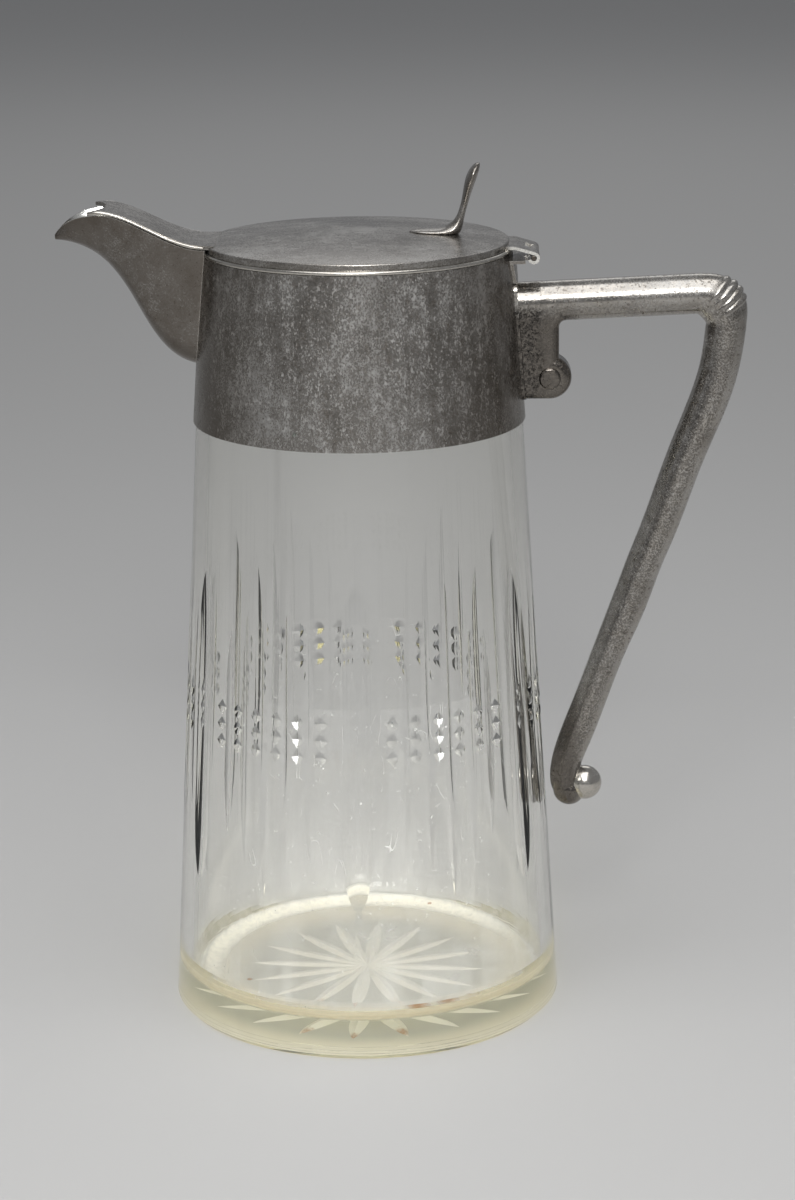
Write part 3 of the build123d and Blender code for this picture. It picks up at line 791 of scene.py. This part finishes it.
def silver_plate(name, clean, shares, roughness, offset=(0, 0, 0), stretch=(1, 1, 1)):
    """Worn plate: its clean colour, its shares of bloom, tarnish and pits, its polish."""
    finish = new_finish(name, {})
    tree = finish.node_tree
    bloom_share, tarnish_share, pit_share = shares
    values = {
        "Place": millimetres(tree, offset, stretch),
        "Clean": clean,
        "Bloom": plate_bloom,
        "Tarnish": plate_tarnish,
        "Bloom Share": bloom_share,
        "Tarnish Share": tarnish_share,
        "Pits": pit_share,
        "Clean Roughness": roughness,
        "Edge": edge_mask(tree),
    }
    worn = add_node(tree, "Group", values, node_tree=worn_plate, name="worn")
    bump = {"Height": worn["Height"], "Strength": 0.35, "Distance": pit_depth}
    feed_shader(
        finish,
        {
            "Base Color": worn["Colour"],
            "Metallic": worn["Metallic"],
            "Roughness": worn["Roughness"],
            "Normal": add_node(tree, "Bump", bump)["Normal"],
        },
    )
    return finish


def paint_over(finish, mask, colour):
    """Lays a colour over the plate where a mask is 1, as a stain or a bright patch does."""
    tree = finish.node_tree
    under = tree.nodes["Principled BSDF"].inputs["Base Color"].links[0].from_socket
    feed_shader(finish, {"Base Color": blend(tree, mask, under, colour)})


collar_plate = silver_plate(
    "collar_plate", warm_silver, (0.48, 0.42, 0.8), 0.15, stretch=(1, 1, 0.7)
)
tree = collar_plate.node_tree
place = millimetres(tree)
# Painted shade: the collar's sides, towards the spout and the handle, are darkened brown.
sideways = maths(tree, "ABSOLUTE", axes(tree, place)["X"])
painted_side_shade = times(tree, band(tree, sideways, *side_shade_reach), side_shade_strength)
paint_over(collar_plate, painted_side_shade, side_shade_colour)
# The bloom has run down in streaks.
run_down = noise(tree, millimetres(tree, stretch=(1, 1, 0.05)), 0.2, 4, 0.65)
streaks = band(tree, run_down, 0.3, 0.7, 0.44, 0.53)
feed(tree, tree.nodes["worn"].inputs, {"Bloom Share": streaks})
paint_over(collar_plate, spot(tree, place, *verdigris_spot), verdigris)
paint_over(collar_plate, spot(tree, place, *rust_spot), rust)
lay_finish(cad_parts["collar"], collar_plate)

# ------------------------------------------------------------------------- rim of the collar
# A half-round wire is soldered round the collar's top edge, open where the spout leaves.
# Hands and cloths keep it the brightest of the plate.
rim_low, rim_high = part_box("collar_rim")
rim_half_height = (rim_high.z - rim_low.z) / 2
rim_half_width = 0.85 * MM
rim_outer = rim_high.x
rim_gap = radians(17.4)
rim_sides = 20
rim_steps = 256
bright_silver = (0.55, 0.52, 0.47, 1)
bright_plate = silver_plate("bright_plate", bright_silver, (0.34, 0.30, 0.3), 0.14, (10, 0, 0))


def cap_ends():
    """Caps the open ends of the skin in hand and turns its faces outwards."""
    bpy.ops.mesh.select_all(action="DESELECT")
    bpy.ops.mesh.select_non_manifold()
    bpy.ops.mesh.edge_face_add()
    bpy.ops.mesh.select_all(action="SELECT")
    bpy.ops.mesh.normals_make_consistent(inside=False)
    bpy.ops.object.mode_set(mode="OBJECT")


def finish_piece(piece, finish, body):
    """Gives a finished piece its finish, body and material slot."""
    lay_finish(piece, finish)
    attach(piece, body)


bpy.ops.object.select_all(action="DESELECT")
bpy.ops.mesh.primitive_circle_add(vertices=rim_sides, radius=1, rotation=(pi / 2, 0, 0))
rim = bpy.context.object
rim.name = "rim_wire"
rim.scale = (rim_half_width, rim_half_height, 1)
bpy.ops.object.transform_apply(rotation=True, scale=True)
rim.location = (rim_outer - rim_half_width, 0, (rim_low.z + rim_high.z) / 2)
bpy.ops.object.transform_apply(location=True)
rim.rotation_euler = (0, 0, pi - rim_gap)
bpy.ops.object.transform_apply(rotation=True)
bpy.ops.object.mode_set(mode="EDIT")
bpy.ops.mesh.select_all(action="SELECT")
bpy.ops.mesh.spin(
    steps=rim_steps, angle=2 * (pi - rim_gap), center=(0, 0, 0), axis=(0, 0, 1)
)
cap_ends()
bpy.ops.object.shade_smooth_by_angle(angle=radians(40))
finish_piece(rim, bright_plate, "jug")
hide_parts("collar_rim")

# ------------------------------------------------------------------------- spout
# The spout is a beak of plated sheet, soldered over a slot in the collar. Its plate is dark,
# partly from tarnish and partly as painted shade, and its upward faces carry a painted
# highlight.
# The spout's clean colour is dark partly from tarnish and partly as painted shade.
spout_tarnish_and_shade = (0.15, 0.135, 0.12, 1)
upward_highlight = (0.85, 0.84, 0.80, 1)


def facing(tree):
    """Outputs X, Y and Z of the way that the surface faces."""
    return axes(tree, add_node(tree, "TexCoord", {})["Normal"])


spout_plate = silver_plate("spout_plate", spout_tarnish_and_shade, (0.26, 0.48, 0.4), 0.2, (0, 60, 0))
tree = spout_plate.node_tree
# Painted highlight: faces that point upwards are painted near white.
paint_over(spout_plate, band(tree, facing(tree)["Z"], 0.02, 0.2), upward_highlight)
lay_finish(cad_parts["spout"], spout_plate)

# ------------------------------------------------------------------------- handle
# The handle is cast with its bracket, plated and soldered to a curved saddle on the collar,
# and a ball is soldered in its curl. The bracket is painted browner, and pitted beside the
# collar.
handle_silver = (0.38, 0.355, 0.32, 1)
bracket_brown = (0.10, 0.085, 0.07, 1)
pit_black = (0.012, 0.011, 0.01, 1)
face_brown = (0.11, 0.10, 0.09, 1)
# Each mark fades between two distances from the jug's middle, and between two heights.
bracket_end, bracket_top = (66, 71), (222, 226.5)
pits_end, pits_top = (50, 56), (225, 228)
limb_top = (224, 230)
handle_plate = silver_plate(
    "handle_plate", handle_silver, (0.42, 0.42, 1.0), 0.13, (0, 0, 33)
)
tree = handle_plate.node_tree
place = millimetres(tree)
outward, _, height = axes(tree, place)
on_bracket = times(
    tree,
    band(tree, outward, *bracket_end, 1, 0),
    band(tree, height, *bracket_top, 0.75, 0),
)
paint_over(handle_plate, on_bracket, bracket_brown)

uneven = maths(tree, "MULTIPLY_ADD", noise(tree, place, 0.25), -9, outward)
pits = times(
    tree,
    band(tree, uneven, *pits_end, 1, 0),
    band(tree, height, *pits_top, 1, 0),
    band(tree, noise(tree, place, 1.15, 5, 0.75), 0.48, 0.53, 1, 0),
)
paint_over(handle_plate, pits, pit_black)

# The faces of the limb keep a granular tarnish that the cloth misses.
granular = times(
    tree,
    band(tree, maths(tree, "ABSOLUTE", facing(tree)["Y"]), 0.72, 0.95),
    band(tree, height, *limb_top, 1, 0),
    band(tree, noise(tree, place, 1.8, 3, 0.7), 0.46, 0.58, 0.75, 0),
)
paint_over(handle_plate, granular, face_brown)
lay_finish(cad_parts["handle"], handle_plate)
lay_finish(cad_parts["handle_saddle"], handle_plate)
lay_finish(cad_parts["handle_ball"], bright_plate)

# ------------------------------------------------------------------------- hinge on the collar
# The collar's half of the hinge is one sheet, soldered on as an apron and a shelf and rolled
# into the middle knuckle. A steel pin is fast in it.
pin_grey = (0.19, 0.17, 0.15, 1)
thumb_plate = silver_plate("thumb_plate", warm_silver, (0.40, 0.50, 0.8), 0.2, (5, 5, 0))
pin_steel = silver_plate("pin_steel", pin_grey, (0.30, 0.60, 0.6), 0.35, (7, 7, 7))
lay_finish(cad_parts["hinge_leaf"], thumb_plate)
lay_finish(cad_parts["hinge_pin"], pin_steel)

# ------------------------------------------------------------------------- lid
# The lid is a domed, plated disc in one piece with the flap over the spout. The tab that
# turns on the pin is soldered under it: its side faces carry a painted highlight, and three
# dots of solder show on its top.
lid_silver = (0.29, 0.27, 0.245, 1)
tab_highlight_silver = (0.85, 0.83, 0.78, 1)
tab_root = (46, 48)
solder = (0.75, 0.74, 0.70, 1)
solder_dots = (
    ((56.5, 3.5, 246.3), 1.1, 0.5),
    ((56.4, -1.0, 246.3), 1.1, 0.5),
    ((56.5, -5.0, 246.3), 1.1, 0.5),
)
lid_plate = silver_plate(
    "lid_plate", lid_silver, (0.38, 0.40, 0.2), 0.22, (30, 0, 5), (0.8, 1, 1)
)
tree = lid_plate.node_tree
place = millimetres(tree)
# Painted highlight: the side faces of the tab are painted near white.
tab_side_highlight = times(
    tree,
    band(tree, maths(tree, "ABSOLUTE", facing(tree)["Y"]), 0.85, 0.97),
    band(tree, axes(tree, place)["X"], *tab_root),
)
paint_over(lid_plate, tab_side_highlight, tab_highlight_silver)
for dot in solder_dots:
    paint_over(lid_plate, spot(tree, place, *dot), solder)
lay_finish(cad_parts["lid"], lid_plate)
lay_finish(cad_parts["hinge_tab"], lid_plate)

# ------------------------------------------------------------------------- thumbpiece
# A cast leaf on a curved stem, soldered to the lid by its flat tongue and pressed by the
# thumb to lift the lid.
thumb_sides = 12
# Sections from the tongue's tip to the leaf's: X, Z, tilt in degrees, thickness, width.
thumb_sections = (
    (16.2, 249.6, 0, 0.6, 2.0),
    (17.5, 249.7, 0, 0.9, 4.6),
    (19.0, 249.7, -2, 1.6, 7.6),
    (22.5, 249.6, -3, 1.8, 8.4),
    (25.5, 249.5, 2, 2.1, 8.4),
    (28.2, 249.7, 25, 3.2, 8.0),
    (29.9, 250.1, 45, 5.0, 7.4),
    (30.9, 251.3, 62, 4.1, 6.4),
    (31.9, 253.4, 74, 2.7, 5.2),
    (32.5, 255.4, 77, 2.3, 4.7),
    (33.4, 258.3, 77, 2.2, 4.8),
    (34.3, 262.2, 74, 2.8, 7.4),
    (35.3, 265.9, 69, 3.6, 10.8),
    (36.6, 268.8, 66, 3.0, 9.6),
    (37.5, 270.2, 62, 1.7, 5.8),
    (37.9, 270.75, 60, 0.5, 2.0),
)


def bridge_rings(name, rings, around, levels):
    """Closed skin over rings, each a place, a tilt about Y, a thickness and a width."""
    bpy.ops.object.select_all(action="DESELECT")
    loops = []
    for place, tilt, thickness, width in rings:
        bpy.ops.mesh.primitive_circle_add(vertices=around, radius=0.5)
        loop = bpy.context.object
        loop.matrix_world = (
            Matrix.Translation(place)
            @ Matrix.Rotation(pi / 2 - tilt, 4, "Y")
            @ Matrix.Diagonal((thickness, width, 1, 1))
        )
        loops.append(loop)
    for loop in loops:
        loop.select_set(True)
    bpy.ops.object.transform_apply()
    bpy.ops.object.join()
    piece = bpy.context.object
    piece.name = name
    bpy.ops.object.mode_set(mode="EDIT")
    bpy.ops.mesh.select_all(action="SELECT")
    bpy.ops.mesh.bridge_edge_loops()
    cap_ends()
    smooth = piece.modifiers.new("smooth", "SUBSURF")
    smooth.levels = smooth.render_levels = levels
    bpy.ops.object.modifier_apply(modifier="smooth")
    bpy.ops.object.shade_smooth()
    return piece


thumb_rings = [
    (Vector((x, 0, z)) * MM, radians(tilt), thickness * MM, width * MM)
    for x, z, tilt, thickness, width in thumb_sections
]
thumb = bridge_rings("thumb_leaf", thumb_rings, thumb_sides, 2)
finish_piece(thumb, thumb_plate, "lid")
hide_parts("thumbpiece")

# ------------------------------------------------------------------------- beads of the flap
# A drawn wire is soldered along each side of the lid's flap, to stiffen it and to close the
# spout. Its ends are filed thin where they meet the disc and the flap's tip.
flap_start = Vector((-46.1, 0, 247.7))
flap_length, flap_rise = 36.0, 10.1
flap_controls = ((0.351, -0.046), (0.69, 1.265))
flap_root_half, flap_end_half, flap_waist = 14.7, 11.2, 0.9
flap_half_thickness = 0.575
bead_radius = 0.68
bead_inset = 0.1
bead_sides = 10
bead_steps = 28
# The wire's thickness at its ends, and how fast it grows from the disc and from the tip.
thin_end, root_growth, tip_growth = 0.35, 6, 8
look_ahead = 0.01


def flap_point(share):
    """Middle of the flap's thickness at a share of its double curve."""
    points = [flap_start]
    for run, rise in (*flap_controls, (1, 1)):
        points.append(flap_start + Vector((-run * flap_length, 0, rise * flap_rise)))
    rest = 1 - share
    weights = (rest**3, 3 * rest**2 * share, 3 * rest * share**2, share**3)
    point = sum((weight * point for weight, point in zip(weights, points)), Vector())
    return point - Vector((0, 0, flap_half_thickness))


for side, name in ((-1, "flap_bead_near"), (1, "flap_bead_far")):
    rings = []
    for step in range(bead_steps + 1):
        share = step / bead_steps
        waist = flap_waist * sin(pi * share)
        half = flap_root_half + share * (flap_end_half - flap_root_half) - waist
        point = flap_point(share)
        point.y = side * (half - bead_inset)
        ahead = flap_point(min(share + look_ahead, 1))
        heading = ahead - flap_point(max(share - look_ahead, 0))
        grown = min(1, root_growth * share + thin_end, tip_growth * (1 - share) + thin_end)
        size = 2 * bead_radius * grown * MM
        rings.append((point * MM, pi + atan2(-heading.z, heading.x), size, size))
    bead = bridge_rings(name, rings, bead_sides, 1)
    finish_piece(bead, bright_plate, "lid")
